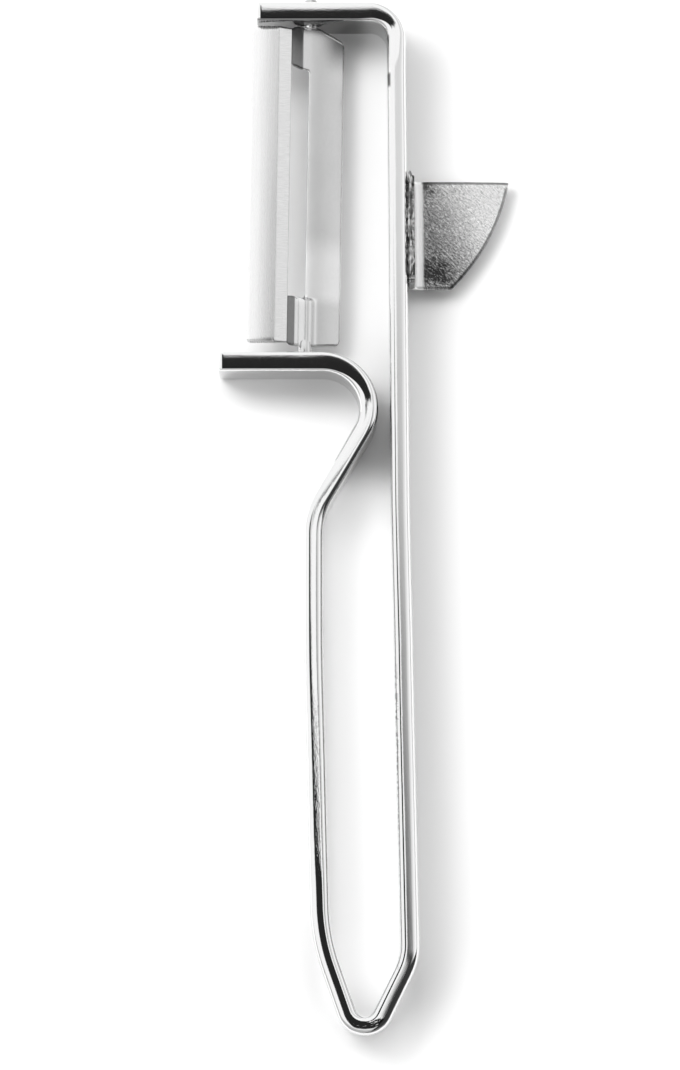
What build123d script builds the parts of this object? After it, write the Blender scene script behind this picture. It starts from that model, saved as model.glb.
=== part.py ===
from build123d import *
import math
import os

# Vegetable peeler with a swivel blade, lying on its side as on a table.
# Sizes are millimetres. +Z is up, +Y points to the head that holds the blade,
# +X points to the side that carries the eye gouge. The origin is under the
# middle of the whole object, on the surface that it lies on.
# The drawing itself starts at the head corner: places on the strip are given
# as distances below the top arm (down) and left or right of the long leg.

os.makedirs("parts", exist_ok=True)

# Bent steel strip that is both handle and fork
strip_width = 9.0
strip_thickness = 3.1
strip_edge_radius = 1.05
top_arm_length = 21.9
head_radius = 4.2
fork_depth = 55.55
low_arm_past_top_arm = 5.8
knee_out = 0.47
knee_down = 77.15
foot_out = 1.87
nose_in = 5.48
nose_down = 162.35
heel_above_nose = 18.0
foot_above_nose = 14.9
shoulder_in = 12.93
waist_past_shoulder = 20.9
waist_narrowing = 0.02
heel_narrowing = 1.08
finger_gap = 1.65
finger_lean_deg = 30.5
finger_radius = 7.2
shoulder_radius = 12.0
bow_radius = 400.0
heel_radius = 30.0
nose_radius = 3.0
foot_radius = 9.0
arm_end_radius = 1.6

# Pivot line of the blade, through both arms at half the strip's width
pivot_top_in = 13.48
pivot_low_in = 14.33
journal_radius = 1.1
journal_clearance = 0.07
dome_height = 0.85
low_journal_short = 0.4

# Swivel blade: one stamped sheet with a ground cutting leaf and a guard leaf
blade_sheet = 0.8
blade_end_gap = 0.25
tail_neck_length = 2.2
blade_rest_turn_deg = -9.0
leaf_reach = 9.2
leaf_edge_rise = 0.6
bevel_back = 5.17
bevel_rise = 2.0
edge_back = 3.14
edge_rise = 1.6
edge_land = 0.08
leaf_crown = 0.16
step_foot_back = 2.25
step_sheet = 0.52
guard_lip = 0.04
guard_reach = 5.45
guard_radius = 18.0
guard_head_slant = 1.5
guard_tail_slant = 1.0
guard_corner_radius = 0.6
leaf_head_skew = 0.45
leaf_corner_radius = 0.6
leaf_rim_round = 0.4
guard_edge_round = 0.3
slot_from_head = 6.1
slot_from_tail = 6.9
slot_head_slant = 0.6
slot_corner_radius = 0.5
tail_step = 0.9
neck_width = 2.5
rib_past_slot = 0.35

# Eye gouge: a sheet bent to a flange on the leg and a curved fin beside it
gouge_sheet = 1.05
gouge_down = 26.2
gouge_length = 16.75
gouge_head_reach = 15.85
gouge_tail_reach = 6.7
gouge_edge_bulge = 1.46
gouge_bend_radius = 1.1
gouge_fin_height = 3.0
gouge_fin_radius = 80.0
gouge_flange_height = 7.9
gouge_tip_radius = 0.5
gouge_tail_radius = 0.6
gouge_edge_round = 0.25

# Weld bead between the flange's upper edge and the leg
bead_radius = 0.55
bead_height = 8.05
bead_past_head = 0.8
bead_short_of_tail = 0.4
bead_ripple_pitch = 0.93
bead_swell_shares = (0.84, 1.06, 0.9, 1.0, 0.8, 1.1)

cut_overrun = 2.0


def strip_corners():
    """Corner points of the strip's middle line, from the lower arm's end to the top arm's end."""
    lean = math.radians(finger_lean_deg)
    # the finger bend comes as near to the long leg as its gap allows
    leg_x = knee_out * (fork_depth + finger_radius) / knee_down
    bend_x = leg_x - strip_thickness - finger_gap
    finger_x = bend_x - finger_radius + finger_radius * math.tan((math.pi / 2 + lean) / 2)
    shoulder_down = fork_depth + (finger_x + shoulder_in) / math.tan(lean)
    waist_in = shoulder_in - waist_narrowing
    heel_in = waist_in - heel_narrowing
    low_end_x = -top_arm_length - low_arm_past_top_arm
    return [
        (low_end_x, -fork_depth),
        (finger_x, -fork_depth),
        (-shoulder_in, -shoulder_down),
        (-waist_in, -shoulder_down - waist_past_shoulder),
        (-heel_in, heel_above_nose - nose_down),
        (-nose_in, -nose_down),
        (foot_out, foot_above_nose - nose_down),
        (knee_out, -knee_down),
        (0, 0),
        (-top_arm_length, 0),
    ]


def strip_section(start, heading):
    """Cross-section of the strip with rounded edges, standing on edge across the path."""
    across = Plane(origin=start, x_dir=Vector(0, 0, 1), z_dir=heading)
    return across * RectangleRounded(strip_width, strip_thickness, strip_edge_radius)


def arm_end_cutter(end_x, arm_y):
    """What rounds off the upper and lower corner of an arm's end, seen from the front."""
    reach = 2 * arm_end_radius
    outline = Rectangle(2 * reach, strip_width + 2 * cut_overrun, align=(Align.CENTER, Align.CENTER))
    rounded = RectangleRounded(2 * reach, strip_width, arm_end_radius, align=(Align.MIN, Align.CENTER))
    front = Plane(origin=(end_x, arm_y, strip_width / 2), x_dir=(1, 0, 0), z_dir=(0, -1, 0))
    waste = front * (outline - rounded)
    # only the part left of the rounding is waste
    keep_left = front * (Pos(-reach / 2 + arm_end_radius / 2, 0)
                         * Rectangle(reach + arm_end_radius, strip_width + 2 * cut_overrun))
    return extrude(waste & keep_left, strip_thickness, both=True)


def make_strip():
    """Frame strip: one section carried along straight runs and tangent bends, with pivot holes."""
    corners = strip_corners()
    radii = [finger_radius, shoulder_radius, bow_radius, heel_radius, nose_radius,
             foot_radius, bow_radius, head_radius]
    middle = FilletPolyline(*[Vector(x, y, strip_width / 2) for x, y in corners], radius=radii)
    body = sweep(strip_section(middle @ 0, middle % 0), path=middle)
    for end_x, arm_y in (corners[0], corners[-1]):
        body -= arm_end_cutter(end_x, arm_y)
    hole = Cylinder(journal_radius + journal_clearance, strip_thickness + 2 * cut_overrun)
    for along in (0, pivot_length()):
        body -= pivot_plane() * Pos(0, 0, along) * hole
    return body


def pivot_length():
    """Distance between the two arms' middle lines along the pivot line."""
    return math.hypot(pivot_low_in - pivot_top_in, fork_depth)


def blade_length():
    """Length of the blade's sheet: what the arms leave, less the gap at its head and its tail neck."""
    return pivot_length() - strip_thickness - blade_end_gap - tail_neck_length


def pivot_plane():
    """Plane at the pivot line's head end: its Z runs from the top arm to the lower arm."""
    head = Vector(-pivot_top_in, 0, strip_width / 2)
    tail = Vector(-pivot_low_in, -fork_depth, strip_width / 2)
    return Plane(origin=head, x_dir=Vector(0, 0, 1).cross(head - tail) * -1, z_dir=tail - head)


def blade_plane():
    """Plane of the blade's cross-section: X across to the guard, Y out of the working face."""
    level = pivot_plane()
    turn = math.radians(blade_rest_turn_deg)
    across = level.x_dir * math.cos(turn) + level.y_dir * math.sin(turn)
    return Plane(origin=level.origin, x_dir=across, z_dir=level.z_dir)


def leaf_profile():
    """Cutting leaf as stamped, before its edge is ground: a crowned sheet."""
    left = (-leaf_reach, leaf_edge_rise)
    top = (-bevel_back, bevel_rise)
    shoulder = (-edge_back, bevel_rise)
    edge_under = (-edge_back, edge_rise - edge_land)
    top_under = (-bevel_back, bevel_rise - blade_sheet)
    left_under = (-leaf_reach, leaf_edge_rise - blade_sheet)
    outline = (
        SagittaArc(left, top, leaf_crown)
        + Line(top, shoulder)
        + Line(shoulder, edge_under)
        + Line(edge_under, top_under)
        + SagittaArc(top_under, left_under, -leaf_crown)
        + Line(left_under, left)
    )
    return make_face(outline)


def grinding_profile():
    """What the grinding wheel takes off the leaf beside the slot."""
    return Polygon(
        (-bevel_back, bevel_rise),
        (-edge_back, edge_rise),
        (-edge_back + cut_overrun, edge_rise),
        (-edge_back + cut_overrun, bevel_rise + cut_overrun),
        (-bevel_back, bevel_rise + cut_overrun),
        align=None,
    )


def guard_profile():
    """Step down from the edge, flat bridge at the pivot and the curved guard leaf."""
    half = blade_sheet / 2
    drop = guard_radius - math.sqrt(guard_radius ** 2 - guard_reach ** 2)
    edge = (-edge_back, edge_rise)
    foot = (-step_foot_back, half)
    rise = edge_rise - half
    run = edge_back - step_foot_back
    lean = math.hypot(rise, run)
    inner_top = (-edge_back - step_sheet * rise / lean, edge_rise - step_sheet * run / lean - edge_land)
    inner_foot = (-step_foot_back - half, -half)
    outline = (
        Line(edge, foot)
        + Line(foot, (0, half))
        + SagittaArc((0, half), (guard_reach, half - drop), guard_sagitta())
        + Line((guard_reach, half - drop), (guard_reach, -half - drop))
        + SagittaArc((guard_reach, -half - drop), (0, -half), -guard_sagitta())
        + Line((0, -half), inner_foot)
        + Line(inner_foot, inner_top)
        + Line(inner_top, edge)
    )
    face = make_face(outline)
    outer_right = face.vertices().sort_by(Axis.X)[-2:].sort_by(Axis.Y)[-1]
    return fillet(outer_right, guard_edge_round)


def guard_sagitta():
    """Bulge of the guard's arc over its chord, for an arc level at the pivot."""
    turn = math.asin(guard_reach / guard_radius)
    return guard_radius * (1 - math.cos(turn / 2))


def plan_plane():
    """Plane seen square on to the working face: X across, Y along the blade towards the tail."""
    flat = blade_plane()
    return Plane(origin=flat.origin, x_dir=flat.x_dir, z_dir=flat.y_dir * -1)


def blade_plan():
    """Outline of the blade seen from its working face, with the neck of its tail."""
    head = strip_thickness / 2 + blade_end_gap
    tail = head + blade_length()
    half_neck = neck_width / 2
    leaf = Polygon(
        (-leaf_reach, head),
        (-edge_back, head + leaf_head_skew),
        (0, head + leaf_head_skew),
        (0, tail),
        (-leaf_reach, tail),
        align=None,
    )
    leaf = fillet(leaf.vertices().sort_by(Axis.X)[:2], leaf_corner_radius)
    shoulder = tail + tail_step
    guard = Polygon(
        (-edge_back, head),
        (half_neck, head),
        (guard_reach, head + guard_head_slant),
        (guard_reach, tail),
        (guard_reach - guard_tail_slant, shoulder - guard_tail_slant / 2),
        (half_neck, shoulder),
        (-step_foot_back, shoulder),
        (-step_foot_back, tail),
        (-edge_back, tail),
        align=None,
    )
    guard = fillet(guard.vertices().filter_by(lambda v: v.X > guard_reach - guard_tail_slant / 2),
                   guard_corner_radius)
    return leaf + guard


def slot_ends():
    """Places of the slot's two ends along the pivot line."""
    sheet_head = strip_thickness / 2 + blade_end_gap
    return sheet_head + slot_from_head, sheet_head + blade_length() - slot_from_tail


def slot_plan():
    """Slot between the cutting edge and the guard's lip, open under the whole step."""
    head, tail = slot_ends()
    outline = Polygon(
        (-leaf_reach, head),
        (-step_foot_back, head),
        (guard_lip, head + slot_head_slant),
        (guard_lip, tail),
        (-leaf_reach, tail),
        align=None,
    )
    lip = outline.vertices().filter_by(lambda v: v.X > -step_foot_back / 2)
    return fillet(lip, slot_corner_radius)


def through(plan):
    """Plan outline of the blade as a prism that passes right through the sheet."""
    return extrude(plan_plane() * plan, leaf_reach, both=True)


def journal(start, length):
    """Round stretch of the blade on the pivot line."""
    return pivot_plane() * Pos(0, 0, start) * Cylinder(
        journal_radius, length, align=(Align.CENTER, Align.CENTER, Align.MIN))


def leaf_rim(leaf):
    """Edges round the leaf's working face: both ends, the outer corners and the outer side."""
    flat = plan_plane()
    slope = (bevel_rise - leaf_edge_rise) / (leaf_reach - bevel_back)
    rim = []
    for edge in leaf.edges():
        start = flat.to_local_coords(edge @ 0)
        middle = flat.to_local_coords(edge @ 0.5)
        stop = flat.to_local_coords(edge @ 1)
        working_face = min(bevel_rise, leaf_edge_rise + (middle.X + leaf_reach) * slope)
        upper = -middle.Z > working_face - blade_sheet / 2
        lengthwise = abs(start.Y - stop.Y) > blade_length() / 2
        outside = middle.X < -leaf_reach + leaf_corner_radius
        upright = abs(start.Z - stop.Z) > blade_sheet / 2 and abs(start.X - stop.X) < blade_sheet / 2
        if upper and not upright and (outside or not lengthwise):
            rim.append(edge)
    return rim


def make_blade():
    """Swivel blade: leaf, step and guard of one sheet, with ribs that end in round journals."""
    head = strip_thickness / 2 + blade_end_gap
    full = head + blade_length() + tail_step
    outline = through(blade_plan())
    leaf = extrude(blade_plane() * leaf_profile(), full) & outline
    leaf = fillet(leaf_rim(leaf), leaf_rim_round)
    leaf -= extrude(blade_plane() * grinding_profile(), full)
    guard = extrude(blade_plane() * guard_profile(), full) & outline
    sheet = leaf + (guard - through(slot_plan()))
    slot_head, slot_tail = slot_ends()
    low_face = pivot_length() - strip_thickness / 2
    top_start = -strip_thickness / 2 - dome_height + journal_radius
    top_journal = journal(top_start, slot_head - rib_past_slot - journal_radius - top_start)
    dome = pivot_plane() * Pos(0, 0, top_start) * Sphere(journal_radius)
    low_end = low_face + strip_thickness - low_journal_short
    low_start = slot_tail + rib_past_slot + journal_radius
    low_journal = journal(low_start, low_end - low_start)
    noses = Sphere(journal_radius)
    top_nose = pivot_plane() * Pos(0, 0, slot_head - rib_past_slot - journal_radius) * noses
    low_nose = pivot_plane() * Pos(0, 0, low_start) * noses
    return sheet + top_journal + dome + top_nose + low_journal + low_nose


def gouge_plane():
    """Plane at the flange's head end: X out of the leg's outer face, Y up, Z towards the nose."""
    along = Vector(knee_out, -knee_down, 0).normalized()
    out = Vector(0, 0, 1).cross(along)
    start = along * gouge_down + out * (strip_thickness / 2)
    return Plane(origin=start, x_dir=out, z_dir=along)


def gouge_profile():
    """Flange, bend and gently arched fin of one sheet, seen along the leg."""
    bend_x = gouge_sheet + gouge_bend_radius
    bend_y = gouge_fin_height + gouge_bend_radius
    outer = gouge_bend_radius + gouge_sheet
    turn = math.asin((gouge_head_reach + gouge_tip_radius - bend_x) / gouge_fin_radius)
    centre_y = gouge_fin_height - gouge_fin_radius
    inner_radius = gouge_fin_radius - gouge_sheet
    slant = math.sqrt(0.5)

    def on_fin(radius, share):
        angle = turn * share
        return (bend_x + radius * math.sin(angle), centre_y + radius * math.cos(angle))

    outline = (
        Line((0, gouge_flange_height), (0, bend_y))
        + ThreePointArc((0, bend_y), (bend_x - outer * slant, bend_y - outer * slant),
                        (bend_x, gouge_fin_height - gouge_sheet))
        + ThreePointArc(on_fin(inner_radius, 0), on_fin(inner_radius, 0.5), on_fin(inner_radius, 1))
        + Line(on_fin(inner_radius, 1), on_fin(gouge_fin_radius, 1))
        + ThreePointArc(on_fin(gouge_fin_radius, 1), on_fin(gouge_fin_radius, 0.5),
                        on_fin(gouge_fin_radius, 0))
        + ThreePointArc((bend_x, gouge_fin_height),
                        (bend_x - gouge_bend_radius * slant, bend_y - gouge_bend_radius * slant),
                        (gouge_sheet, bend_y))
        + Line((gouge_sheet, bend_y), (gouge_sheet, gouge_flange_height))
        + Line((gouge_sheet, gouge_flange_height), (0, gouge_flange_height))
    )
    return make_face(outline)


def gouge_plan():
    """Plan of the gouge: square at the leg, bounded outside by one long curved edge."""
    tip = (gouge_head_reach, 0)
    tail = (gouge_tail_reach, gouge_length)
    outline = (
        Line((0, 0), tip)
        + SagittaArc(tip, tail, -gouge_edge_bulge)
        + Line(tail, (0, gouge_length))
        + Line((0, gouge_length), (0, 0))
    )
    face = make_face(outline)
    face = fillet(face.vertices().sort_by(Axis.X)[-1], gouge_tip_radius)
    return fillet(face.vertices().filter_by(
        lambda v: v.X > gouge_tail_reach / 2 and v.Y > gouge_length - gouge_tail_radius / 2),
        gouge_tail_radius)


def make_gouge():
    """Eye gouge: bent sheet cut to its plan outline."""
    local = gouge_plane()
    sheet = extrude(local * gouge_profile(), gouge_length)
    seen_flat = Plane(origin=local.origin, x_dir=local.x_dir, z_dir=local.y_dir * -1)
    cutter = extrude(seen_flat * gouge_plan(), strip_width + cut_overrun, both=True)
    gouge = sheet & cutter
    curved = []
    for edge in gouge.edges():
        middle = local.to_local_coords(edge @ 0.5)
        start = local.to_local_coords(edge @ 0)
        stop = local.to_local_coords(edge @ 1)
        lengthwise = abs(start.Z - stop.Z) > gouge_length / 2
        if lengthwise and middle.X > gouge_tail_reach:
            curved.append(edge)
    upper = sorted(curved, key=lambda edge: (edge @ 0.5).Z)[-1]
    return fillet(upper, gouge_edge_round)


def make_bead(strip, gouge):
    """Weld bead: a rippled round rod laid in the corner, trimmed by the leg and the flange."""
    local = gouge_plane()
    length = gouge_length + bead_past_head - bead_short_of_tail
    count = max(4, round(length / bead_ripple_pitch))
    swells = [bead_swell_shares[i % len(bead_swell_shares)] for i in range(count + 1)]
    ridge = [(bead_radius * swells[i], length * i / count) for i in range(count + 1)]
    side = Spline(*ridge)
    outline = (
        Line((0, 0), ridge[0])
        + side
        + Line(ridge[-1], (0, length))
        + Line((0, length), (0, 0))
    )
    start = local.origin + Vector(0, 0, 1) * bead_height - local.z_dir * bead_past_head
    lie = Plane(origin=start, x_dir=local.x_dir, z_dir=local.y_dir * -1)
    half = lie * make_face(outline)
    rod = revolve(half, Axis(lie.origin, lie.y_dir))
    bead = rod - strip - gouge
    return bead.solids().sort_by(SortBy.VOLUME)[-1]


def main():
    strip = make_strip()
    blade = make_blade()
    gouge = make_gouge()
    bead = make_bead(strip, gouge)
    nodes = {
        "handle_frame": strip,
        "swivel_blade": blade,
        "eye_gouge": gouge,
        "weld_bead": bead,
    }
    box = Compound([shape.solid() for shape in nodes.values()]).bounding_box()
    home = Pos(-box.center().X, -box.center().Y, -box.min.Z)
    for name, shape in nodes.items():
        export_step(home * shape, f"parts/{name}.step")
        print(name, "solids", len(shape.solids()), "volume", round(shape.volume, 2))
    print("shift", [round(v, 4) for v in (-box.center().X, -box.center().Y, -box.min.Z)])
    print("size", [round(v, 3) for v in (box.size.X, box.size.Y, box.size.Z)])
    print("pivot head", home.position + pivot_plane().origin, "direction", pivot_plane().z_dir)


main()
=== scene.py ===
import math

import bpy
import numpy as np
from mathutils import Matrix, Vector


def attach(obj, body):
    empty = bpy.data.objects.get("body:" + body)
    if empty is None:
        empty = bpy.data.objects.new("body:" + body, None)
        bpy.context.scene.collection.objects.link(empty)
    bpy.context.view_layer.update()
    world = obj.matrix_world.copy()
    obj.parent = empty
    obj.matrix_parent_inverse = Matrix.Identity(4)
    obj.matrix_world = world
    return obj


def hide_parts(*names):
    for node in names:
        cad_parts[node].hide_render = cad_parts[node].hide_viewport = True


# Vegetable peeler of polished strip steel, lying on its side on a white table.
# Sizes are written in millimetres and turned into metres where a mesh is made.
# +Y points to the head that holds the blade, +X to the eye gouge, +Z up.

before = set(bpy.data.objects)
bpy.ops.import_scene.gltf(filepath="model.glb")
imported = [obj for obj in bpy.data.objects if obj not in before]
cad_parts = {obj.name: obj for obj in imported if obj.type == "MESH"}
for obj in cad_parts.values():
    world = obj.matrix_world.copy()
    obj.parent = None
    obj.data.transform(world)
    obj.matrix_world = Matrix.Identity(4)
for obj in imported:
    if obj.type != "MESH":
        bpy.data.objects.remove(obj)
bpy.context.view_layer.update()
MM = 0.001


# ---------------------------------------------------------------- sizes

STRIP_WIDE, STRIP_THICK, STRIP_ROUND = 9.0, 3.1, 1.05
SHIFT = np.array([5.1265, 78.3932])          # head corner of the strip in the frame
FORK_DEEP, FINGER_R, FINGER_LEAN, FINGER_GAP = 55.55, 7.2, math.radians(30.5), 1.65
SHOULDER_IN, NOSE_DOWN = 12.93, 162.35
KNEE = (0.47, -77.15)                        # the long leg's small bend, from the head corner
LEG_FOOT = (1.87, 14.9 - NOSE_DOWN)          # the long leg's end at the nose
FACE_HALF = 1.47                             # half of the thickness that the scene's strip shows
PIVOT_TOP, PIVOT_LOW = 13.48, 14.33
BLADE_TURN = math.radians(-9.0)

# blade, across: back of the leaf, bevel's start, cutting edge, foot of the step, slot's lip, guard's edge
LEAF_X, BEVEL_X, EDGE_X, FOOT_X, LIP_X, GUARD_X = -9.2, -5.17, -3.14, -1.05, 0.04, 5.45
# blade, along: ends of the sheet, ends of the slot, end of the tail's journal
HEAD_T, TAIL_T = 1.8, 51.8
SLOT_HEAD, SLOT_TAIL, LIP_START = 7.9, 44.9, 8.5
PIVOT_R, PIVOT_END = 1.1, 55.5565 + 1.55 - 0.4

# gouge: way down the leg, length along it, sheet, middle radius of the bend, arc of the fin
GOUGE_DOWN, GOUGE_LONG, GOUGE_THICK, GOUGE_BEND, FIN_ARC = 26.2, 16.75, 1.05, 1.1, 120.0
FLANGE_TOP, FLANGE_LOW, BEND_OUT = 7.9, 4.1, 2.15
TIP_OUT, TAIL_OUT, EDGE_BULGE = 15.85, 6.7, 1.46


# ---------------------------------------------------------------- meshes

def mesh_object(name, verts, faces, body=None, uv=None, smooth_deg=40):
    """A mesh object from points in millimetres; uv gives one pair for each vertex."""
    mesh = bpy.data.meshes.new(name)
    mesh.from_pydata((np.asarray(verts) * MM).tolist(), [], faces)
    if uv is not None:
        layer = mesh.uv_layers.new(name="UVMap")
        index = np.empty(len(mesh.loops), int)
        mesh.loops.foreach_get("vertex_index", index)
        layer.data.foreach_set("uv", np.asarray(uv)[index].astype(np.float32).ravel())
    mesh.polygons.foreach_set("use_smooth", np.ones(len(mesh.polygons), bool))
    mesh.set_sharp_from_angle(angle=math.radians(smooth_deg))
    mesh.update()
    thing = bpy.data.objects.new(name, mesh)
    bpy.context.scene.collection.objects.link(thing)
    if body:
        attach(thing, body)
    return thing


def quarter(share):
    """Fall of a quarter circle: 1 - sqrt(1 - share squared), 0 at a share of 0 and 1 at 1."""
    return 1 - np.sqrt(1 - np.clip(share, 0, 1) ** 2)


def fillet_path(corners, radii, step, turn_step):
    """Points, tangents and lengths along straight runs joined by tangent arcs."""
    corners = np.asarray(corners, float)
    pieces = []
    start = corners[0]
    for i, r in enumerate(radii):
        a, b, c = corners[i], corners[i + 1], corners[i + 2]
        u = (b - a) / np.linalg.norm(b - a)
        w = (c - b) / np.linalg.norm(c - b)
        turn = math.atan2(u[0] * w[1] - u[1] * w[0], u @ w)
        cut = r * math.tan(abs(turn) / 2)
        pieces.append(("line", start, b - u * cut))
        pieces.append(("arc", b - u * cut, u, turn, r))
        start = b + w * cut
    pieces.append(("line", start, corners[-1]))
    out_p, out_t = [], []
    for piece in pieces:
        if piece[0] == "line":
            p, q = piece[1], piece[2]
            long = np.linalg.norm(q - p)
            n = max(2, int(math.ceil(long / step)))
            s = np.arange(n) / n
            out_p.append(p + (q - p) * s[:, None])
            out_t.append(np.tile((q - p) / long, (n, 1)))
        else:
            p, u, turn, r = piece[1:]
            n = max(2, int(math.ceil(abs(turn) / turn_step)), int(math.ceil(abs(turn) * r / step)))
            phi = turn * np.arange(n) / n
            side = np.array([-u[1], u[0]]) * np.sign(turn)
            out_p.append(p + r * (np.sin(abs(phi))[:, None] * u + (1 - np.cos(phi))[:, None] * side))
            out_t.append(np.cos(phi)[:, None] * u + np.sin(abs(phi))[:, None] * side)
    out_p.append(pieces[-1][2][None])
    out_t.append(out_t[-1][-1:])
    p = np.concatenate(out_p)
    t = np.concatenate(out_t)
    s = np.concatenate([[0], np.cumsum(np.linalg.norm(np.diff(p, axis=0), axis=1))])
    return p, t, s


def strip_corners():
    """Corner points of the strip's middle line, in the frame, from the lower arm to the top arm."""
    leg_x = KNEE[0] * (FORK_DEEP + FINGER_R) / -KNEE[1]
    bend_x = leg_x - STRIP_THICK - FINGER_GAP
    finger_x = bend_x - FINGER_R + FINGER_R * math.tan((math.pi / 2 + FINGER_LEAN) / 2)
    shoulder = FORK_DEEP + (finger_x + SHOULDER_IN) / math.tan(FINGER_LEAN)
    # lower arm's end, finger bend, shoulder, two along the second leg, nose, long leg, head, top arm's end
    points = [(-27.7, -FORK_DEEP), (finger_x, -FORK_DEEP), (-SHOULDER_IN, -shoulder),
              (-12.91, -shoulder - 20.9), (-11.83, 18.0 - NOSE_DOWN), (-5.48, -NOSE_DOWN),
              LEG_FOOT, KNEE, (0, 0), (-21.9, 0)]
    return np.array(points) + SHIFT


def rounded_section(half_wide, half_thick, radius, crown_wide, crown_thick):
    """Closed rounded rectangle with gently crowned sides, as arrays that broadcast over stations.

    Each corner is a quarter circle; each side between corners bows out by its crown,
    crown * (1 - (position / half length) ** 2)."""
    corner = np.linspace(0, math.pi / 2, 9)[None]
    side = np.linspace(-1, 1, 11)[1:-1][None]
    r = radius[:, None]
    hx, hy = half_thick[:, None], half_wide[:, None]
    ones = np.ones_like(side)
    xs, ys = [], []
    for k, (sx, sy) in enumerate(((1, 1), (-1, 1), (-1, -1), (1, -1))):
        turn = corner + k * math.pi / 2
        xs.append(sx * (hx - r) + r * np.cos(turn))
        ys.append(sy * (hy - r) + r * np.sin(turn))
        if k % 2 == 0:
            xs.append(-sx * side * (hx - r))
            ys.append(sy * (hy + crown_thick * (1 - side ** 2)))
        else:
            xs.append(sx * (hx + crown_wide * (1 - side ** 2)) * ones)
            ys.append(-sy * side * (hy - r))
    return np.concatenate(xs, 1), np.concatenate(ys, 1)


def tube_faces(rows, around, flip=False):
    """Quads between neighbouring closed rings, and one polygon over each end.

    Flip turns them over, for rings that run the other way round."""
    i = np.arange(rows - 1)[:, None]
    j = np.arange(around)[None]
    k = (j + 1) % around
    quads = np.stack([i * around + j, i * around + k, (i + 1) * around + k, (i + 1) * around + j], -1)
    turn = -1 if flip else 1
    faces = quads.reshape(-1, 4)[:, ::turn].tolist()
    faces.append(np.arange(around)[::-turn].tolist())
    faces.append((np.arange(around) + (rows - 1) * around)[::turn].tolist())
    return faces


def smooth_noise(positions, pitch, seed):
    """Value noise along a line: random heights a pitch apart, joined by a cosine blend."""
    rng = np.random.default_rng(seed)
    x = positions / pitch
    base = np.floor(x).astype(int)
    table = rng.uniform(-1, 1, base.max() - base.min() + 3)
    t = (1 - np.cos((x - base) * math.pi)) / 2
    low = table[base - base.min()]
    high = table[base - base.min() + 1]
    return low + (high - low) * t


def ease(x, low, high):
    """Smooth rise from 0 at low to 1 at high."""
    t = np.clip((x - low) / (high - low), 0, 1)
    return t * t * (3 - 2 * t)


def face_slopes(px, py, stations):
    """Slopes of the upper face in degrees, each at its length along the strip.

    A slope is positive where the face falls to the right of the way along."""
    def at(x, y):
        return stations[np.argmin(np.hypot(px - x, py - y))]
    head, foot = SHIFT, SHIFT + LEG_FOOT
    low = SHIFT[1] - FORK_DEEP
    marks = [
        # lower arm and finger bend
        (-22.5, low, 3.4), (-8.0, low, 3.4), (-1.35, low - 2.1, 5.0), (-0.2, low - 3.6, 6.0),
        (0.41, low - 5.0, 7.0), (0.72, low - 6.6, 1.5), (0.76, low - 7.8, 1.0),
        # slant and second leg
        (-3.0, 8.0, 1.0), (-7.5, -0.5, -4.0), (-7.8, -13.0, -5.8), (-7.8, -27.8, -4.6),
        (-7.8, -32.4, -3.4), (-7.7, -38.6, -2.5), (-7.6, -44.8, -1.3), (-7.5, -51.0, -0.7),
        (-7.4, -55.0, 1.4), (-7.2, -58.0, 4.0), (-6.7, -64.0, 5.4),
        # nose
        (-2.4, -78.0, 6.0), (-0.35, -83.9, 14.0), (1.8, -80.5, 12.5), (4.6, -74.5, 13.6),
        # long leg
        (foot[0], foot[1] - 1.0, 13.4), (foot[0], foot[1] + 4.0, 12.2), (5.7, 5.0, 11.5),
        (head[0], head[1] - 9.0, 11.0), (head[0], head[1] - 4.0, 0.0),
        # top bend and top arm
        (head[0] - 0.5, head[1] - 1.9, -6.5), (head[0] - 1.2, head[1] - 1.2, -6.5),
        (head[0] - 5.0, head[1], -4.8), (head[0] - 21.0, head[1], -4.6)]
    return (np.array([at(x, y) for x, y, _ in marks]) - stations[0], np.array([k for _, _, k in marks]))


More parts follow.
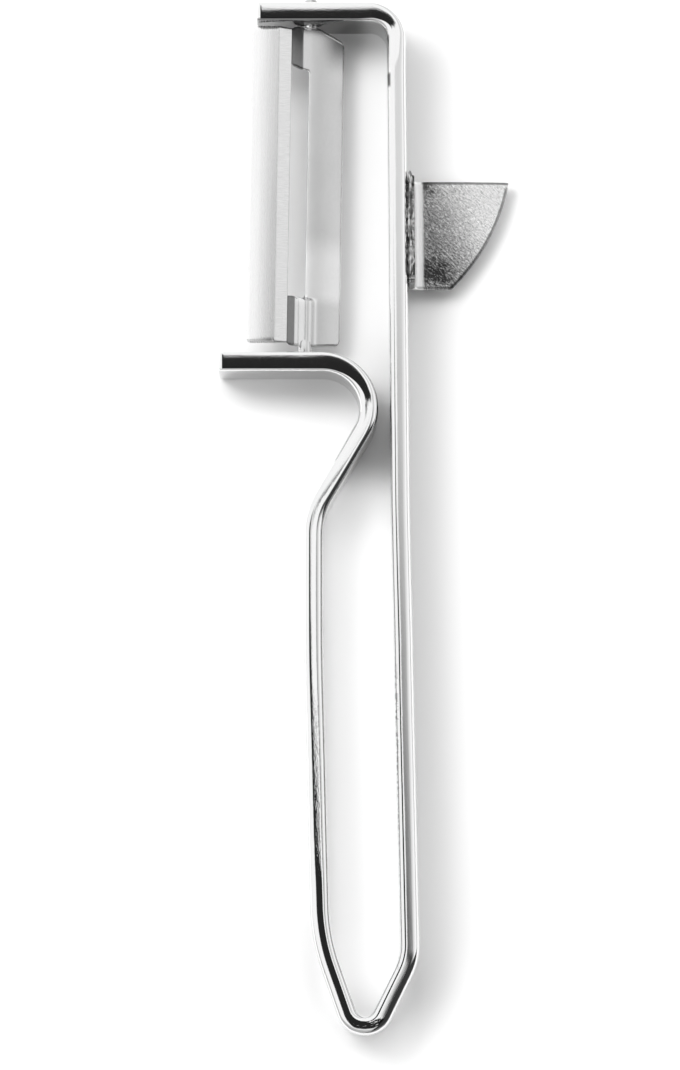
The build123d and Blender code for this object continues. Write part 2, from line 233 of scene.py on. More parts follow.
def make_strip():
    """The bent strip: a rounded section carried along the fillet path.

    Its upper face slopes a little to one side, by an amount that changes along the path.
    Both ends close over rounded corners."""
    radii = [FINGER_R, 12.0, 400.0, 30.0, 3.0, 9.0, 400.0, 4.2]     # one for each inner corner
    p, t, s = fillet_path(strip_corners(), radii, 0.7, math.radians(3))
    end = np.array([0, 0.02, 0.06, 0.12, 0.2, 0.3, 0.42, 0.56, 0.7, 0.9, 1.2])
    total = s[-1]
    keep = (s > end[-1] + 0.1) & (s < total - end[-1] - 0.1)
    stations = np.concatenate([end, s[keep], total - end[::-1]])
    px = np.interp(stations, s, p[:, 0])
    py = np.interp(stations, s, p[:, 1])
    tx = np.interp(stations, s, t[:, 0])
    ty = np.interp(stations, s, t[:, 1])
    norm = np.hypot(tx, ty)
    tx, ty = tx / norm, ty / norm
    from_end = np.minimum(stations, total - stations)
    # both ends are rounded over: by 0.7 mm across the strip's width and 0.4 mm across its thickness
    half_wide = STRIP_WIDE / 2 - 0.7 * quarter(1 - from_end / 0.7)
    half_thick = FACE_HALF - 0.4 * quarter(1 - from_end / 0.4)
    arms = 1 - ease(stations, 16.0, 27.0) + ease(stations, total - 24.0, total - 15.0)
    radius = np.minimum(STRIP_ROUND - 0.65 * arms, half_thick * 0.92)
    crown = (0.045 * (half_thick - radius) / 2)[:, None]
    sx, sy = rounded_section(half_wide, half_thick, radius, 0.012, crown)
    along = np.stack([tx, ty, 0 * tx], 1)
    up = np.tile([0.0, 0.0, 1.0], (len(stations), 1))
    side = np.cross(along, up)
    centre = np.stack([px, py, np.full_like(px, STRIP_WIDE / 2)], 1)
    # bending on edge drew one side of the upper face down: its slope by the way along
    slope = np.radians(np.interp(stations - stations[0], *face_slopes(px, py, stations)))
    slope = slope * ease(from_end, 0.0, 0.4)
    sy = sy - np.tan(slope)[:, None] * sx * np.clip(sy / (STRIP_WIDE / 2), 0, 1)
    # slight waviness of a strip that was bent and polished by hand
    wave = 0.012 * smooth_noise(stations, 9.0, 3) * ease(from_end, 1.0, 8.0)
    centre = centre + side * wave[:, None]
    verts = centre[:, None] + sx[..., None] * side[:, None] + sy[..., None] * up[:, None]
    rows, around = sx.shape
    girth = np.cumsum(np.hypot(np.diff(sx[20], prepend=sx[20, -1]), np.diff(sy[20], prepend=sy[20, -1])))
    uv = np.stack(np.broadcast_arrays(girth[None], stations[:, None]), -1)
    return mesh_object("bent_strip", verts.reshape(-1, 3), tube_faces(rows, around, flip=True),
                       "frame", uv=uv.reshape(-1, 2), smooth_deg=50)


# ---------------------------------------------------------------- sheets

def sheet_solid(top, thick, mask, round_share=0.45, ring=4):
    """Closed solid of a sheet given by its working face on a grid.

    top is a rows x cols x 3 grid, thick the sheet's depth at each grid point and mask
    says which cells exist. The under side is the top moved along the grid's normal.
    Every free edge is closed by a wall that is half an ellipse from face to face: it goes
    down by the depth and bulges out by round_share of the depth. Also gives, for each
    point, the grid point that it came from."""
    rows, cols = top.shape[:2]
    count = rows * cols
    normal = np.cross(np.gradient(top, axis=0), np.gradient(top, axis=1)).reshape(-1, 3)
    normal /= np.linalg.norm(normal, axis=1, keepdims=True)
    if normal[:, 2].mean() < 0:
        normal = -normal
    face, depth = top.reshape(-1, 3), thick.reshape(-1, 1)
    first = np.flatnonzero(np.pad(mask, ((0, 1), (0, 1))))
    quads = first[:, None] + np.array([0, cols, cols + 1, 1])
    turn = np.cross(face[quads[:, 1]] - face[quads[:, 0]], face[quads[:, 3]] - face[quads[:, 0]])
    if (turn * normal[quads[:, 0]]).sum(1).mean() < 0:
        quads = quads[:, ::-1]
    # an edge is free where no cell has the same edge the other way round
    edges = np.concatenate([quads[:, [k, (k + 1) % 4]] for k in range(4)])
    free = edges[~np.isin(edges @ [1, count], edges @ [count, 1])]
    push = np.cross(face[free[:, 1]] - face[free[:, 0]], normal[free[:, 0]])
    push /= np.maximum(np.linalg.norm(push, axis=1, keepdims=True), 1e-9)
    out = np.zeros((count, 3))
    np.add.at(out, free[:, 0], push)
    np.add.at(out, free[:, 1], push)
    out /= np.maximum(np.linalg.norm(out, axis=1, keepdims=True), 1e-9)
    rim = np.unique(free)
    angle = math.pi * np.arange(1, ring)[:, None, None] / ring
    wall = face[rim] + depth[rim] * (out[rim] * round_share * np.sin(angle)
                                     - normal[rim] * (1 - np.cos(angle)) / 2)
    verts = np.concatenate([face, face - normal * depth, wall.reshape(-1, 3)])
    origin = np.concatenate([np.tile(np.arange(count), 2), np.tile(rim, ring - 1)])
    between = 2 * count + np.arange((ring - 1) * len(rim)).reshape(ring - 1, -1)
    levels = np.concatenate([rim[None], between, rim[None] + count])
    here, there = np.searchsorted(rim, free).T
    walls = np.stack([levels[:-1, there], levels[:-1, here], levels[1:, here], levels[1:, there]], -1)
    faces = np.concatenate([quads, quads[:, ::-1] + count, walls.reshape(-1, 4)])
    used, faces = np.unique(faces, return_inverse=True)
    return verts[used], faces.reshape(-1, 4).tolist(), origin[used]


def pivot_frame():
    """Origin and axes of the blade: across to the guard, out of the working face, along to the tail."""
    head = np.array([SHIFT[0] - PIVOT_TOP, SHIFT[1], STRIP_WIDE / 2])
    tail = np.array([SHIFT[0] - PIVOT_LOW, SHIFT[1] - FORK_DEEP, STRIP_WIDE / 2])
    along = (tail - head) / np.linalg.norm(tail - head)
    level = np.cross(np.array([0, 0, 1.0]), along)
    level = level if level[0] > 0 else -level
    up = np.array([0, 0, 1.0])
    across = level * math.cos(BLADE_TURN) + up * math.sin(BLADE_TURN)
    out = up * math.cos(BLADE_TURN) - level * math.sin(BLADE_TURN)
    return head, across, out, along


def place(local):
    """Points of the blade's own axes in the frame."""
    origin, across, out, along = pivot_frame()
    return origin + local[..., :1] * across + local[..., 1:2] * out + local[..., 2:] * along


def blade_face(x):
    """Height of the working face at place x across.

    Leaf: crowned arc rising to the bevel. Bevel: straight down to the edge. Step: a straight
    fall to its foot, with a small round at the foot. Guard: a circle of 18 mm, level at the pivot."""
    middle, half = (LEAF_X + BEVEL_X) / 2, (BEVEL_X - LEAF_X) / 2
    leaf = 0.6 + (x - LEAF_X) * (0.7 / half) + 0.07 * (1 - ((x - middle) / half) ** 2)
    bevel = 2.0 - (x - BEVEL_X) * (0.4 / (EDGE_X - BEVEL_X))
    guard = 0.4 - (18 - np.sqrt(np.maximum(18 ** 2 - np.maximum(x, 0) ** 2, 1)))
    fall = 1.6 - (x - EDGE_X) * 0.6
    step = guard + np.sqrt(np.maximum(fall - guard, 0) ** 2 + 0.02 ** 2) - 0.02
    return np.where(x < BEVEL_X, leaf, np.where(x <= EDGE_X, bevel, np.where(x < 0.0, step, guard)))


def rib(x):
    """Raised rib over the tail's pivot: one wave of a cosine across, 1.75 mm to each side."""
    return 0.5 + 0.5 * np.cos(np.clip((x - 0.1) / 1.75, -1, 1) * math.pi)


def make_blade():
    """Blade sheet: one grid over leaf, bevel, step, bridge and guard with the slot left out.

    Its rows run from the head's line to the slot, beside the slot, and on to the tail's line,
    and each of these four lines is a function of the place across."""
    leaf_x = np.linspace(LEAF_X, BEVEL_X, 19)
    bevel_x = np.linspace(BEVEL_X, EDGE_X, 11)[1:]
    step_x = np.array([-3.12, -3.05, -2.8, -2.4, -2.0, -1.6, -1.35, -1.25, -1.18, -1.12, FOOT_X])
    bridge_x = np.linspace(FOOT_X, LIP_X, 9)[1:]
    guard_x = np.linspace(LIP_X, GUARD_X, 29)[1:]
    x = np.concatenate([leaf_x, bevel_x, step_x, bridge_x, guard_x])
    edge_col = len(leaf_x) + len(bevel_x) - 1
    lip_col = edge_col + len(step_x) + len(bridge_x)
    head_t = np.linspace(0, 1, 25)
    slot_t = np.linspace(0, 1, 101)[1:]
    tail_t = np.linspace(0, 1, 31)[1:]
    near_corner = np.array([0.1, 0.2, 0.3, 0.4, 0.5, 0.7]) / (SLOT_TAIL - SLOT_HEAD)
    slot_t = np.unique(np.concatenate([slot_t, near_corner, 1 - near_corner]))
    # end lines of the sheet, by the place across: slants, then rounded corners
    leaf_corner = 0.35 * quarter((-8.6 - x) / 0.6)
    leaf_head = 0.2 + 0.25 * (x - LEAF_X) / (EDGE_X - LEAF_X)
    step_head = 0.45 - 0.45 * ease(x, EDGE_X, -2.0)
    guard_head = 0.46 * np.maximum(x - 1.35, 0) + 0.6 * quarter((x - 4.85) / 0.6)
    inner_head = np.where(x < -2.0, step_head, guard_head)
    head_line = HEAD_T + leaf_corner + np.where(x < EDGE_X, leaf_head, inner_head)
    tail_line = TAIL_T + 0.45 + 0.10 * ease(x, EDGE_X, -2.6) - 0.35 * ease(x, 1.4, GUARD_X)
    tail_line = tail_line - leaf_corner - 0.7 * quarter((x - 4.75) / 0.7)
    slot_head_line = SLOT_HEAD + 0.6 * np.clip((x + 2.25) / 2.29, 0, 1) - 0.6 * ease(x, LIP_X, 2.5)
    slot_tail_line = np.full_like(x, SLOT_TAIL)
    t_rows = [head_line + (slot_head_line - head_line) * k for k in head_t]
    t_rows += [slot_head_line + (slot_tail_line - slot_head_line) * k for k in slot_t]
    t_rows += [slot_tail_line + (tail_line - slot_tail_line) * k for k in tail_t]
    t = np.array(t_rows)
    rows, cols = t.shape
    # the lip's corners are rounded: columns near the lip draw back beside both ends of the slot
    gap = np.minimum(t - LIP_START, SLOT_TAIL - t)
    draw = 0.5 * quarter(1 - gap / 0.5) * (gap > 0)
    hold = np.where(x <= LIP_X, 1.0, np.clip(1 - (x - LIP_X) / 1.5, 0, 1)) * (x > -2.3)
    xx = x - draw * hold
    y = blade_face(xx) + 0.62 * rib(xx) * ease(t, SLOT_TAIL - 0.1, SLOT_TAIL + 0.5)
    # the leaf is worn down a little at its two ends
    end_fall = ease(t - head_line, 0, 0.45) * ease(tail_line - t, 0, 0.45)
    y = y - 0.12 * (1 - end_fall) * (xx < -5.3)
    # 0.8 mm of sheet thins over the bevel to 0.1 mm at the edge, and is 0.7 mm in step and guard
    bevel_thick = 0.8 - 0.7 * np.clip((xx - BEVEL_X) / (EDGE_X - BEVEL_X), 0, 1)
    thick = np.where(xx > EDGE_X, 0.1 + 0.6 * ease(xx, EDGE_X, -2.2), bevel_thick)
    mask = np.ones((rows - 1, cols - 1), bool)
    first, last = len(head_t) - 1, len(head_t) - 1 + len(slot_t)
    mask[first:last, edge_col:lip_col] = False
    top = place(np.stack([xx, y, t], -1))
    verts, faces, origin = sheet_solid(top, thick, mask, 0.3)
    uv = np.stack([xx, t], -1).reshape(-1, 2)[origin]
    return mesh_object("swivel_blade_sheet", verts, faces, "blade", uv=uv, smooth_deg=35)


def lathe(name, radii, places, around=40):
    """Round bar on the blade's pivot line: rings of the given radii at the given places along it."""
    turn = np.linspace(0, 2 * math.pi, around, endpoint=False)
    r = np.asarray(radii)[:, None]
    z = np.asarray(places)[:, None]
    local = np.stack([r * np.cos(turn), r * np.sin(turn), z + 0 * turn], -1)
    verts = place(local).reshape(-1, 3)
    uv = np.stack(np.broadcast_arrays(turn[None], z), -1)
    return mesh_object(name, verts, tube_faces(len(radii), around), "blade",
                       uv=uv.reshape(-1, 2))


def make_journals():
    """Round ends of the blade: domed through the top arm, plain in the lower arm."""
    angle = np.linspace(0.04, math.pi / 2, 9)
    # the dome ends 1.75 mm outside the arm
    dome = PIVOT_R * (1 - np.cos(angle)) - STRIP_THICK / 2 - 1.75
    head = lathe("head_journal", np.r_[PIVOT_R * np.sin(angle), PIVOT_R, 0.95, 0.3],
                 np.r_[dome, 1.6, 1.85, 2.1])
    tail = lathe("tail_journal", [0.3, 0.9, PIVOT_R, 1.15, 1.12, PIVOT_R, PIVOT_R, 0.95, 0.5],
                 [50.9, 51.4, 52.0, 53.2, 53.6, 54.1, PIVOT_END - 0.12, PIVOT_END, PIVOT_END])
    return [head, tail]


# ---------------------------------------------------------------- gouge

def gouge_frame():
    """Origin and axes of the gouge: out of the leg, along the leg towards the nose."""
    down = np.array([*KNEE, 0.0])
    down /= np.linalg.norm(down)
    out = np.array([-down[1], down[0], 0.0])
    start = np.array([SHIFT[0], SHIFT[1], 0.0]) + down * GOUGE_DOWN + out * (STRIP_THICK / 2)
    return start, out, down


def make_gouge():
    """Eye gouge: flange, bend and fin as one grid of a bent sheet, with a curved outer edge.

    Across it runs down the flange, round a quarter bend, and out along the fin's arc to the
    edge, which bulges by EDGE_BULGE beyond the straight line from tip to tail."""
    start, out, down = gouge_frame()
    v = np.linspace(0, 1, 61)
    z_flange = np.linspace(FLANGE_TOP, FLANGE_LOW, 12)[:, None]
    bend = np.linspace(0, math.pi / 2, 12)[1:, None]
    fin = np.linspace(0, 1, 61)[1:, None]
    tip, tail = np.array([TIP_OUT, 0.0]), np.array([TAIL_OUT, GOUGE_LONG])
    chord = tail - tip
    unit = chord / np.linalg.norm(chord)
    outward = np.array([unit[1], -unit[0]])
    edge = tip + chord * v[:, None] + outward * (4 * EDGE_BULGE * v * (1 - v))[:, None]
    reach = np.interp(v * GOUGE_LONG, edge[:, 1], edge[:, 0])
    fin_x = BEND_OUT + (reach - BEND_OUT) * fin
    fin_z = FLANGE_LOW - GOUGE_BEND - (FIN_ARC - np.sqrt(FIN_ARC ** 2 - (fin_x - BEND_OUT) ** 2))
    flat = np.zeros_like(v)
    x = np.concatenate([flat + BEND_OUT - GOUGE_BEND + 0 * z_flange,
                        flat + BEND_OUT - GOUGE_BEND * np.cos(bend), fin_x])
    z = np.concatenate([flat + z_flange, flat + FLANGE_LOW - GOUGE_BEND * np.sin(bend), fin_z])
    d = np.broadcast_to(v * GOUGE_LONG, x.shape)
    top = start + x[..., None] * out + d[..., None] * down + z[..., None] * np.array([0, 0, 1.0])
    thick = np.full(x.shape, GOUGE_THICK)
    run = np.cumsum(np.hypot(np.diff(x, axis=0), np.diff(z, axis=0)), 0)
    girth = np.concatenate([flat[None], run])
    mask = np.ones((x.shape[0] - 1, x.shape[1] - 1), bool)
    verts, faces, origin = sheet_solid(top, thick, mask, 0.25)
    uv = np.stack([girth, d], -1).reshape(-1, 2)[origin]
    return mesh_object("gouge_sheet", verts, faces, "frame", uv=uv, smooth_deg=45)


def make_weld():
    """Weld along the flange: a thin rod whose girth and path wander by two noises."""
    start, out, down = gouge_frame()
    s = np.linspace(-0.9, 16.3, 140)
    around = 20
    turn = np.linspace(0, 2 * math.pi, around, endpoint=False)
    swell = 0.5 * (1 + 0.28 * smooth_noise(s + 5, 0.8, 11) + 0.12 * smooth_noise(s + 5, 0.33, 12))
    taper = np.sqrt(np.clip(1 - np.abs((s - 7.7) / 8.65) ** 8, 0.02, 1))
    r = (swell * taper)[:, None] * (1 + 0.12 * np.sin(3 * turn[None] + 2 * s[:, None]))
    x = 0.33 + 0.06 * smooth_noise(s + 5, 1.3, 13)
    z = 7.98 + 0.06 * smooth_noise(s + 5, 1.1, 14)
    up = np.array([0, 0, 1.0])
    x, z, y = x[:, None] + r * 0.95 * np.cos(turn), z[:, None] + r * np.sin(turn), s[:, None] + 0 * r
    pts = start + x[..., None] * out + y[..., None] * down + z[..., None] * up
    uv = np.stack(np.broadcast_arrays(turn[None], s[:, None]), -1)
    return mesh_object("gouge_weld", pts.reshape(-1, 3), tube_faces(len(s), around),
                       "frame", uv=uv.reshape(-1, 2), smooth_deg=60)


# ---------------------------------------------------------------- shaders

class Value:
    """A socket in a node tree that can be used in sums."""

    def __init__(self, tree, socket):
        self.tree, self.socket = tree, socket

    def calc(self, kind, *others):
        """One maths node with this value as its first input."""
        node = self.tree.nodes.new("ShaderNodeMath")
        node.operation = kind
        for slot, value in zip(node.inputs, (self,) + others):
            link_or_set(self.tree, slot, value)
        return Value(self.tree, node.outputs[0])

    def __add__(self, other): return self.calc("ADD", other)
    def __radd__(self, other): return self.calc("ADD", other)
    def __sub__(self, other): return self.calc("SUBTRACT", other)
    def __rsub__(self, other): return self.calc("MULTIPLY", -1).calc("ADD", other)
    def __mul__(self, other): return self.calc("MULTIPLY", other)
    def __rmul__(self, other): return self.calc("MULTIPLY", other)
    def __truediv__(self, other): return self.calc("DIVIDE", other)
    def __abs__(self): return self.calc("ABSOLUTE")


def link_or_set(tree, slot, value):
    """Link a socket to a Value, or set it to a constant."""
    if isinstance(value, Value):
        tree.links.new(value.socket, slot)
    elif value is not None:
        slot.default_value = value


class Paint:
    """A material or world tree that makes nodes from a type, its settings and its inputs."""

    def __init__(self, owner):
        owner.use_nodes = True
        self.owner, self.tree = owner, owner.node_tree
        self.tree.nodes.clear()

    def node(self, kind, settings=None, inputs=None, output=0):
        """A node of a type, with its settings and inputs: one output as a value, all for None."""
        made = self.tree.nodes.new(kind)
        for name, value in (settings or {}).items():
            setattr(made, name, value)
        for name, value in (inputs or {}).items():
            link_or_set(self.tree, made.inputs[name], value)
        if output is None:
            return {socket.name: Value(self.tree, socket) for socket in made.outputs}
        return Value(self.tree, made.outputs[output]) if made.outputs else made

    def parts(self, vector):
        """The three components of a vector."""
        return self.node("ShaderNodeSeparateXYZ", {}, {0: vector}, output=None).values()

    def step(self, x, low, high):
        """Eased rise of x from 0 at low to 1 at high."""
        return self.node("ShaderNodeMapRange", {"interpolation_type": "SMOOTHSTEP"},
                         {0: x, 1: low, 2: high, 3: 0.0, 4: 1.0})

    def mix(self, share, a, b):
        """Blend of two colours."""
        made = self.tree.nodes.new("ShaderNodeMix")
        made.data_type = "RGBA"
        link_or_set(self.tree, made.inputs[0], share)
        link_or_set(self.tree, made.inputs[6], grey(a))
        link_or_set(self.tree, made.inputs[7], grey(b))
        return Value(self.tree, made.outputs[2])

    def uv(self, across=1.0, along=1.0, shift=0.0):
        """The piece's own map in millimetres, stretched."""
        source = self.node("ShaderNodeUVMap")
        return self.node("ShaderNodeMapping", {}, {"Vector": source, "Scale": (across, along, 1.0),
                                                   "Location": (shift, shift * 1.7, shift)})

    def spot(self, scale=(1000.0, 1000.0, 1000.0)):
        """Object coordinates in millimetres, stretched."""
        source = self.node("ShaderNodeTexCoord", output="Object")
        return self.node("ShaderNodeMapping", {}, {"Vector": source, "Scale": scale})

    def noise(self, where, scale, detail=2.0, rough=0.5, distort=0.0):
        """Noise between 0 and 1 at a place."""
        return self.node("ShaderNodeTexNoise", {}, {"Vector": where, "Scale": scale, "Detail": detail,
                                                    "Roughness": rough, "Distortion": distort})

    def bump(self, height, strength, distance, normal=None):
        """Normal bent by a height, whose full step is the distance in metres."""
        inputs = {"Strength": strength, "Distance": distance, "Height": height}
        if normal is not None:
            inputs["Normal"] = normal
        return self.node("ShaderNodeBump", {}, inputs)

    def metal(self, tone, rough, normal):
        """Bare metal of a grey tone, which ends the material."""
        shader = self.node("ShaderNodeBsdfPrincipled", {}, {
            "Metallic": 1.0, "Base Color": self.mix(tone, 0.0, 1.0), "Roughness": rough, "Normal": normal})
        self.node("ShaderNodeOutputMaterial", {}, {"Surface": shader})
        return self.owner


def grey(value):
    """A grey as a colour, and a colour as it is."""
    return (value, value, value, 1.0) if isinstance(value, (int, float)) else value


def polished_strip():
    """Polished plated steel: mirror bright with hair scratches along it.

    The broad walls are painted a darker grey as shade, with the long streaks of the strip's rolling. The
    plating's upper edge is ragged on the two legs near the nose, dented round the nose and nicked under
    the head."""
    paint = Paint(bpy.data.materials.new("polished_strip"))
    x, y, z = paint.parts(paint.spot())
    hairs = paint.noise(paint.uv(9.0, 0.25), 1.0, 3.0, 0.6)
    cloud = paint.noise(paint.uv(0.5, 0.12, 3.0), 1.0, 2.0)
    pits = paint.noise(paint.uv(3.2, 1.1, 8.0), 1.0, 3.0, 0.7)
    ragged = paint.noise(paint.uv(1.3, 0.9, 5.0), 1.0, 3.0, 0.6)
    dents = paint.noise(paint.uv(1.1, 0.8, 2.0), 1.0, 1.0)
    left = (1 - paint.step(x, -3, -1)) * paint.step(y, -60, -52) * (1 - paint.step(y, -36, -24))
    right = paint.step(x, -1, 1) * (1 - paint.step(x, 5.3, 6.2))
    right = right * paint.step(y, -72, -66) * (1 - paint.step(y, -34, -20))
    nose = 1 - paint.step(y, -81.5, -77.5)
    upper = paint.step(z, 7.3, 8.2)
    wall = paint.step(z, 0.3, 1.0) * (1 - paint.step(z, 7.7, 8.7))
    streaks = paint.noise(paint.uv(2.4, 0.035, 4.0), 1.0, 4.0, 0.62)
    nick = (1 - paint.step(abs(x - 3.8), 0.25, 0.5)) * (1 - paint.step(abs(y - 67.4), 0.7, 1.4)) * upper
    normal = paint.bump(cloud, 0.25, 0.00004)
    normal = paint.bump(pits, 0.10, 0.00003, normal)
    normal = paint.bump(ragged * (left + right) * upper, 1.0, 0.00003, normal)
    normal = paint.bump(dents * nose * upper, 1.0, 0.00014, normal)
    normal = paint.bump(hairs, 0.05, 0.00001, normal)
    normal = paint.bump(streaks * wall, 0.5, 0.00004, normal)
    specks = paint.noise(paint.uv(2.2, 1.2, 9.0), 1.0, 2.0)
    inner_edge = 1 - paint.step(x - 5.25 + (y + 60) * 0.0061, -0.3, 0.3)
    flecks = paint.step(specks, 0.47, 0.56) * right * upper * inner_edge
    # painted shade: the broad walls are painted a darker grey (0.66) than the faces, with streaks and
    # cloud over it
    wall_shade_and_streaks = 0.66 + 0.45 * (streaks - 0.5) + 0.10 * (cloud - 0.5)
    tone = 0.90 + 0.04 * (cloud - 0.5)
    # painted shade: the top arm's wall towards the blade is painted darker from its lower rounding down
    below = y - float(SHIFT[1])
    painted_inner_shade = paint.step(below, -1.9, -1.6) * (1 - paint.step(below, -1.25, -0.95))
    painted_inner_shade = painted_inner_shade * (1 - paint.step(x, -1.5, 2.5))
    tone = (tone + (wall_shade_and_streaks - tone) * wall) * (1 - 0.75 * nick) * (1 - 0.65 * flecks) * (1 - 0.55 * painted_inner_shade)
    rough = 0.04 + hairs * (0.04 + 0.12 * wall)
    return paint.metal(tone, rough, normal)


def blade_steel():
    """Cutting steel: drawn grain along the leaf, cross grinding on the bevel, a step painted dark as shade
    and a satin guard, on which highlights and shade are painted. Across and along are the blade's own axes
    in millimetres."""
    paint = Paint(bpy.data.materials.new("blade_steel"))
    across, along, _ = paint.parts(paint.node("ShaderNodeUVMap"))
    leaf = 1 - paint.step(across, -5.22, -5.12)
    bevel = paint.step(across, -5.22, -5.12) - paint.step(across, -3.2, -3.1)
    foot = across + 0.75 * paint.step(along, 40, 44)
    step = paint.step(across, -3.14, -3.02) * (1 - paint.step(foot, -1.2, -1.0))
    guard = paint.step(foot, -1.2, -1.0)
    long_grain = paint.noise(paint.uv(9.0, 0.16), 1.0, 4.0, 0.7)
    wide_grain = paint.noise(paint.uv(2.2, 0.06, 5.0), 1.0, 3.0, 0.6)
    cross_grain = paint.noise(paint.uv(0.5, 7.0, 2.0), 1.0, 3.0, 0.6)
    fine = paint.noise(paint.uv(5.0, 1.6, 9.0), 1.0, 3.0, 0.6)
    cloud = paint.noise(paint.uv(0.25, 0.12, 4.0), 1.0, 2.0)
    grain = long_grain * leaf + cross_grain * bevel + fine * guard * 0.3
    normal = paint.bump(grain, 0.12, 0.00002)
    # painted shade: the leaf is painted darker from its back towards the bevel, and a dark line is painted
    # at its tail end
    tail_line = paint.step(along, 51.75, 51.95)
    leaf_tone = 1.0 - 0.22 * paint.step(across, -8.8, -5.2) - 0.3 * tail_line
    leaf_tone = leaf_tone + 0.16 * (long_grain - 0.5) + 0.14 * (wide_grain - 0.5)
    bevel_tone = 0.95 + 0.30 * (cross_grain - 0.5) + 0.06 * (long_grain - 0.5)
    line = paint.step(across, -5.32, -5.2) * (1 - paint.step(across, -5.2, -5.08))
    head_shade = paint.step(across, 1.0, 4.6) * (1 - paint.step(along, 3.5, 9.5))
    tail_glow = paint.step(along, 34, 39) * (1 - paint.step(along, 44, 46.5))
    from_slant = along - HEAD_T - 0.46 * (across - 1.35)
    head_line = paint.step(across, 1.2, 1.7) * (1 - paint.step(from_slant, 0.25, 0.45))
    # painted light on the guard: shade at its head, a highlight along the slanted head edge and lighter
    # towards the tail
    guard_tone = 0.74 + 0.6 * head_line + 0.20 * tail_glow - 0.55 * head_shade
    guard_tone = guard_tone + 0.10 * (cloud - 0.5) + 0.08 * (fine - 0.5)
    # painted shade: the step is painted a flat dark 0.26
    tone = leaf_tone * leaf + bevel_tone * bevel + 0.26 * step + guard_tone * guard - 0.22 * line
    # painted shade: the head journal, dome and neck, is painted darker
    tone = tone * (1 - 0.45 * (1 - paint.step(along, 1.2, 1.6)))
    rough = 0.27 + 0.10 * (long_grain - 0.5) * leaf - 0.03 * guard
    return paint.metal(tone, rough, normal)


def plated_sheet():
    """Plating over an uneven sheet: short slanting dashes, painted shade towards the leg, a painted
    highlight along the bend, and two darker corners with ragged edges. Across is the way down the flange
    and out over the fin."""
    paint = Paint(bpy.data.materials.new("plated_sheet"))
    across, along, _ = paint.parts(paint.node("ShaderNodeUVMap"))
    slanted = paint.node("ShaderNodeCombineXYZ", {}, {
        0: (across + along) * 1.1, 1: (along - across) * 2.6, 2: 3.0})
    dashes = paint.noise(slanted, 1.0, 4.0, 0.66, 0.4)
    grain = paint.noise(paint.uv(4.5, 4.0, 4.0), 1.0, 3.0, 0.6)
    cloud = paint.noise(paint.uv(0.22, 0.2, 6.0), 1.0, 2.0)
    normal = paint.bump(dashes, 0.6, 0.00010)
    normal = paint.bump(grain, 0.4, 0.00004, normal)
    out = paint.step(across - along * 0.35, 4.0, 15.0)
    bend = paint.step(across, 4.0, 4.4) * (1 - paint.step(across, 5.6, 6.1))
    # two corners near the leg are painted darker, their edges made ragged by noise
    corner_noise = 3.0 * (paint.noise(paint.uv(1.2, 1.2, 7.0), 1.0, 2.0) - 0.5)
    head_corner = (1 - paint.step(across + corner_noise, 5.8, 8.6)) * (1 - paint.step(along + corner_noise, 0.4, 3.0))
    tail_corner = paint.step(along + corner_noise, 11.4, 13.4) * (1 - paint.step(along + corner_noise, 15.2, 16.4))
    tail_corner = tail_corner * (1 - paint.step(across + corner_noise, 8.6, 10.6))
    rim = (1 - paint.step(along, 0.12, 0.35)) * paint.step(across, 5.4, 5.9)
    # painted shade: the sheet is painted darker towards the leg and lighter out over the fin
    tone = 0.30 + 0.68 * out - 0.28 * (head_corner + tail_corner)
    tone = tone + 1.5 * (dashes - 0.5) + 0.8 * (grain - 0.5) + 0.25 * (cloud - 0.5)
    # painted highlight: a bright band along the bend
    tone = tone + (1.0 - tone) * bend
    # darker line inside the curved edge: the place on the edge curve for this place along it
    share = along / GOUGE_LONG
    share = share - 0.167 * share * (1 - share)
    curve = TIP_OUT - 9.15 * share + 5.12 * share * (1 - share)
    curved_edge_line = paint.step(across - 3.38 - curve, -0.34, -0.14) * paint.step(along, 0.1, 1.2)
    tone = tone * (1 - 0.7 * rim) * (1 - 0.62 * curved_edge_line)
    tone = paint.node("ShaderNodeClamp", {}, {0: tone, 1: 0.04, 2: 1.0})
    return paint.metal(tone, 0.24 + 0.10 * bend, normal)


def weld_metal():
    """Weld metal: dark and pitted, with bright beads between the pits."""
    paint = Paint(bpy.data.materials.new("weld_metal"))
    lumps = paint.noise(paint.spot(), 2.2, 4.0, 0.7)
    pits = paint.step(paint.noise(paint.spot((2600.0, 330.0, 1500.0)), 1.0, 3.0, 0.6), 0.43, 0.60)
    normal = paint.bump(lumps, 0.8, 0.00012)
    return paint.metal(0.14 + 0.64 * pits, 0.25 + 0.3 * lumps, normal)


def table_paint():
    """White table: matt, its own glow seen by the camera and by mirrors only, so shadows stay.

    Inside the handle the glow is stronger: a pool of light painted on the table."""
    paint = Paint(bpy.data.materials.new("table"))
    x, y, _ = paint.parts(paint.spot())
    # painted light: a brighter pool on the table inside the handle
    painted_light_pool = 1 - paint.step(abs(x + 0.6 + (y + 30) * 0.02), 3.0, 8.5)
    painted_light_pool = painted_light_pool * paint.step(y, -84, -70) * (1 - paint.step(y, 2, 9))
    matt = paint.node("ShaderNodeBsdfDiffuse", {}, {"Color": grey(0.80)})
    light_path = paint.node("ShaderNodeLightPath", output=None)
    seen = light_path["Is Camera Ray"] + light_path["Is Glossy Ray"] + light_path["Is Transmission Ray"]
    glow = paint.node("ShaderNodeEmission", {}, {"Color": paint.mix(painted_light_pool, 0.02, 0.36), "Strength": seen})
    both = paint.node("ShaderNodeAddShader", {}, {0: matt, 1: glow})
    paint.node("ShaderNodeOutputMaterial", {}, {"Surface": both})
    return paint.owner


# ---------------------------------------------------------------- studio

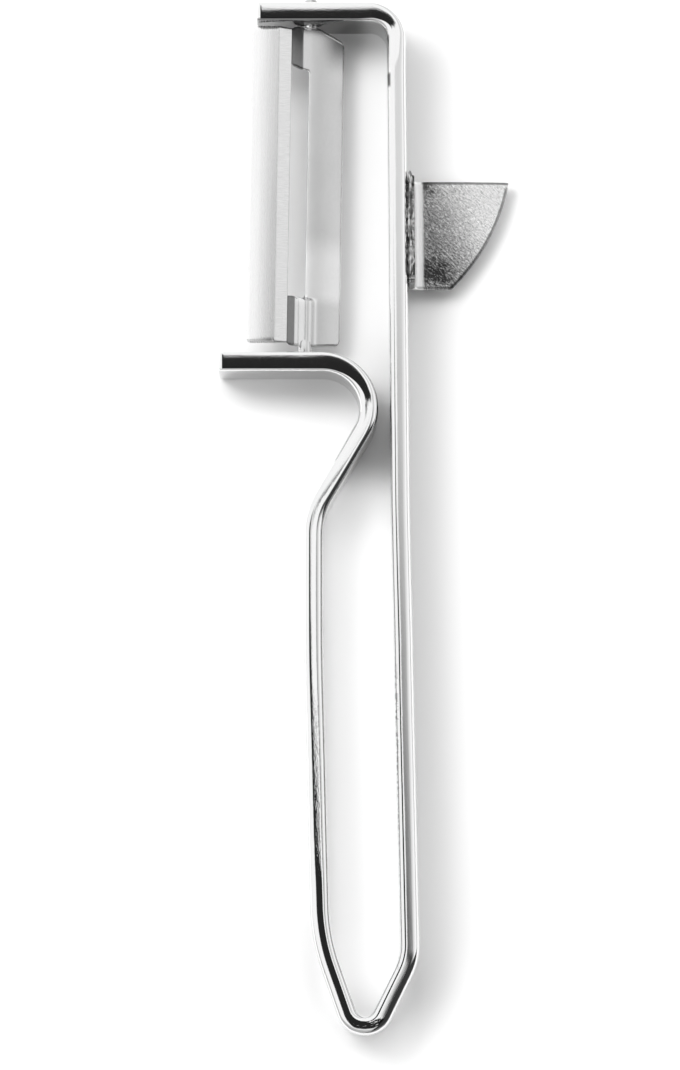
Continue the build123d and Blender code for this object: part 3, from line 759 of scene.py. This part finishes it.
def make_world():
    """Pale studio all round, seen by direction: east and north are angles from overhead in degrees.

    Two diffusers leave a dark gap overhead with a bright slit beside it; east of the slit
    the second diffuser starts grey and gets lighter, and it is darker towards the south."""
    world = bpy.data.worlds.new("studio")
    bpy.context.scene.world = world
    paint = Paint(world)
    way = paint.node("ShaderNodeTexCoord", output="Generated")
    dx, dy, dz = paint.parts(way)
    flat = (dx * dx + dy * dy).calc("SQRT")
    height = dz.calc("ARCTAN2", flat) * (180 / math.pi)
    east = dx.calc("ARCTAN2", dz) * (180 / math.pi)
    north = dy.calc("ARCTAN2", dz) * (180 / math.pi)
    above = paint.step(height, -3, 3)
    gap = paint.step(east, -22, -18) * paint.step(north, -40, -30)
    gap = gap * (1 - paint.step(north - 3.8 * (1 - paint.step(east, -8, -2)), 5.3, 8.7))
    gap = gap * (1 - paint.step(east - 25 * (1 - paint.step(north, -18, -12)), 3.8, 5.4))
    south = 1 - paint.step(north, -8, 0)
    far = 1 - paint.step(north, -25, -12)
    second = paint.step(east - 4 * south, 17, 19.5 + 6 * south)
    second = second * (1 - paint.step(east - 12 * south - 50 * far, 22, 44))
    second = second * paint.step(north, -90, -60)
    rise = paint.node("ShaderNodeMapRange", {"interpolation_type": "LINEAR"},
                      {0: north, 1: 1.5, 2: 13.5, 3: 0.0, 4: 1.0})
    second_level = 0.12 - 0.08 * south + 0.62 * rise
    shore = 1.02 - 0.20 * (paint.step(east, 16, 24) - paint.step(east, 46, 60))
    shore = shore * (1 - 0.55 * (1 - paint.step(north, -60, -30)))
    rim = (1 - paint.step(height, 6, 14)) * above
    shore = shore * (1 - rim * (0.12 + 0.40 * paint.step(east, 0, 40)))
    level = shore + (second_level - shore) * second
    level = level * (1 - 0.98 * gap * above)
    light_path = paint.node("ShaderNodeLightPath", output=None)
    seen, spread = light_path["Is Camera Ray"], light_path["Is Diffuse Ray"]
    toward = dy / flat
    sides = (1 - paint.step(abs(toward), 0.45, 0.8)) * paint.step(height, 8, 26)
    sides = sides * (1 - paint.step(height, 42, 60))
    over = paint.step(toward, 0.4, 0.85) * paint.step(height, 32, 48) * (1 - paint.step(height, 68, 82))
    soft = 0.04 + 4.0 * sides * (1 - 0.4 * paint.step(dx, -0.2, 0.3)) + 3.6 * over
    level = level + (soft - level) * spread
    strength = level * (1 - seen) + seen
    back = paint.node("ShaderNodeBackground", {}, {"Color": grey(1.0), "Strength": strength})
    paint.node("ShaderNodeOutputWorld", {}, {"Surface": back})


def make_studio():
    """Table, one large soft lamp high on the left, and the camera."""
    scene = bpy.context.scene
    sheet = np.array([(-1, -1, 0), (1, -1, 0), (1, 1, 0), (-1, 1, 0)]) * 3000.0
    table = mesh_object("table_top", sheet, [(0, 1, 2, 3)])
    table.data.materials.append(table_paint())
    lamp = bpy.data.lights.new("left_diffuser", "AREA")
    lamp.shape = "RECTANGLE"
    lamp.size = lamp.size_y = 0.27
    lamp.energy = 1.7
    holder = bpy.data.objects.new("left_diffuser", lamp)
    scene.collection.objects.link(holder)
    way = np.array([-0.60, 0.52, 0.9])
    way = Vector(way / np.linalg.norm(way))
    holder.location = way * 0.66
    holder.rotation_euler = way.to_track_quat("Z", "Y").to_euler()
    holder.visible_glossy = False
    lens = bpy.data.cameras.new("camera")
    lens.sensor_fit = "VERTICAL"
    lens.sensor_height = 36.0
    lens.lens = 36.0 * 3871 / 1070               # focal length 3871 px in a picture 1070 px high
    lens.clip_start = 0.01
    eye = bpy.data.objects.new("camera", lens)
    scene.collection.objects.link(eye)
    tilt, away = math.radians(7.3), 0.6
    aim = np.array([SHIFT[0] - 8.83, SHIFT[1] - 82.15, STRIP_WIDE / 2]) * MM
    eye.location = (aim[0], aim[1] - away * math.sin(tilt), aim[2] + away * math.cos(tilt))
    eye.rotation_euler = (tilt, 0, 0)
    scene.camera = eye
    scene.view_settings.view_transform = "Standard"


def main():
    """The four pieces with their materials, the world and the studio."""
    strip = make_strip()
    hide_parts("handle_frame")
    sheet = make_blade()
    journals = make_journals()
    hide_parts("swivel_blade")
    gouge = make_gouge()
    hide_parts("eye_gouge")
    weld = make_weld()
    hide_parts("weld_bead")
    strip.data.materials.append(polished_strip())
    steel = blade_steel()
    for piece in [sheet] + journals:
        piece.data.materials.append(steel)
    gouge.data.materials.append(plated_sheet())
    weld.data.materials.append(weld_metal())
    make_world()
    make_studio()


main()
